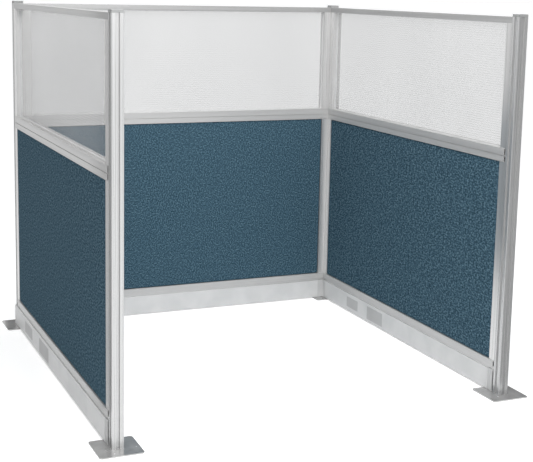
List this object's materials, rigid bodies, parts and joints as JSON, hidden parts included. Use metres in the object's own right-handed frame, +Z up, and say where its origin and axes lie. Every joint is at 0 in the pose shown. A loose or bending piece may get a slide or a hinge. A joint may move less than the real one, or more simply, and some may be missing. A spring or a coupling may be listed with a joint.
{
  "type": "cubicle workstation",
  "caption": "Open-fronted cubicle: fabric wall panels with translucent windows above and cable raceways below, held between slotted aluminium posts on foot plates.",
  "frame": {"origin": "on the floor under the middle of the plan", "axes": "+Z up, +Y to the back wall, +X to the right wall seen from the open front"},
  "size_m": [2.0696, 2.0696, 1.785],
  "materials": {
    "post_aluminium": "satin anodised extrusion",
    "frame_aluminium": "satin anodised extrusion",
    "tray_aluminium": "mill finish",
    "cap_plastic": "moulded, fine grain",
    "foot_steel": "polished steel plate",
    "zinc_steel": "zinc plated",
    "board_fabric": "heathered woven panel fabric",
    "twin_wall_sheet": "translucent twin-wall polycarbonate",
    "raceway_vinyl": "rigid vinyl extrusion",
    "blank_vinyl": "moulded plastic, fine grain",
    "end_vinyl": "moulded plastic",
    "strip_vinyl": "rigid vinyl extrusion"
  },
  "bodies": {
    "root": {"back_connector_strips": "strip_vinyl", "back_fabric_board": "board_fabric", "back_left_corner_cover": "raceway_vinyl", "back_left_foot_plate": "foot_steel", "back_left_post": "post_aluminium", "back_panel_bottom_rail": "frame_aluminium", "back_panel_stiles": "frame_aluminium", "back_panel_top_rail": "frame_aluminium", "back_raceway_divider": "tray_aluminium", "back_raceway_ends": "end_vinyl", "back_raceway_trays": "tray_aluminium", "back_right_corner_cover": "raceway_vinyl", "back_right_foot_plate": "foot_steel", "back_right_post": "post_aluminium", "back_window_bottom_rail": "frame_aluminium", "back_window_pane": "twin_wall_sheet", "back_window_stiles": "frame_aluminium", "back_window_top_rail": "post_aluminium", "foot_bolts": "zinc_steel", "front_left_foot_plate": "foot_steel", "front_left_post": "post_aluminium", "front_right_foot_plate": "foot_steel", "front_right_post": "post_aluminium", "left_connector_strips": "strip_vinyl", "left_fabric_board": "board_fabric", "left_panel_bottom_rail": "frame_aluminium", "left_panel_stiles": "frame_aluminium", "left_panel_top_rail": "frame_aluminium", "left_raceway_divider": "tray_aluminium", "left_raceway_ends": "end_vinyl", "left_raceway_trays": "tray_aluminium", "left_window_bottom_rail": "frame_aluminium", "left_window_pane": "twin_wall_sheet", "left_window_stiles": "frame_aluminium", "left_window_top_rail": "post_aluminium", "post_caps": "cap_plastic", "right_connector_strips": "strip_vinyl", "right_fabric_board": "board_fabric", "right_panel_bottom_rail": "frame_aluminium", "right_panel_stiles": "frame_aluminium", "right_panel_top_rail": "frame_aluminium", "right_raceway_divider": "tray_aluminium", "right_raceway_ends": "end_vinyl", "right_raceway_trays": "tray_aluminium", "right_window_bottom_rail": "frame_aluminium", "right_window_pane": "twin_wall_sheet", "right_window_stiles": "frame_aluminium", "right_window_top_rail": "post_aluminium", "window_joining_keys": "zinc_steel"},
    "left_inner_cover_body": {"left_inner_cover": "raceway_vinyl", "left_inner_blanks": "blank_vinyl"},
    "left_outer_cover_body": {"left_outer_cover": "raceway_vinyl", "left_outer_blanks": "blank_vinyl"},
    "right_inner_cover_body": {"right_inner_cover": "raceway_vinyl", "right_inner_blanks": "blank_vinyl"},
    "right_outer_cover_body": {"right_outer_cover": "raceway_vinyl", "right_outer_blanks": "blank_vinyl"},
    "back_inner_cover_body": {"back_inner_cover": "raceway_vinyl"},
    "back_outer_cover_body": {"back_outer_cover": "raceway_vinyl"}
  },
  "joints": [
    {"name": "left_inner_cover_pull", "type": "slide", "parent": "root", "child": "left_inner_cover_body", "axis": [1, 0, 0], "range_m": [0, 0.025]},
    {"name": "left_outer_cover_pull", "type": "slide", "parent": "root", "child": "left_outer_cover_body", "axis": [-1, 0, 0], "range_m": [0, 0.025]},
    {"name": "right_inner_cover_pull", "type": "slide", "parent": "root", "child": "right_inner_cover_body", "axis": [-1, 0, 0], "range_m": [0, 0.025]},
    {"name": "right_outer_cover_pull", "type": "slide", "parent": "root", "child": "right_outer_cover_body", "axis": [1, 0, 0], "range_m": [0, 0.025]},
    {"name": "back_inner_cover_pull", "type": "slide", "parent": "root", "child": "back_inner_cover_body", "axis": [0, -1, 0], "range_m": [0, 0.025]},
    {"name": "back_outer_cover_pull", "type": "slide", "parent": "root", "child": "back_outer_cover_body", "axis": [0, 1, 0], "range_m": [0, 0.025]}
  ]
}
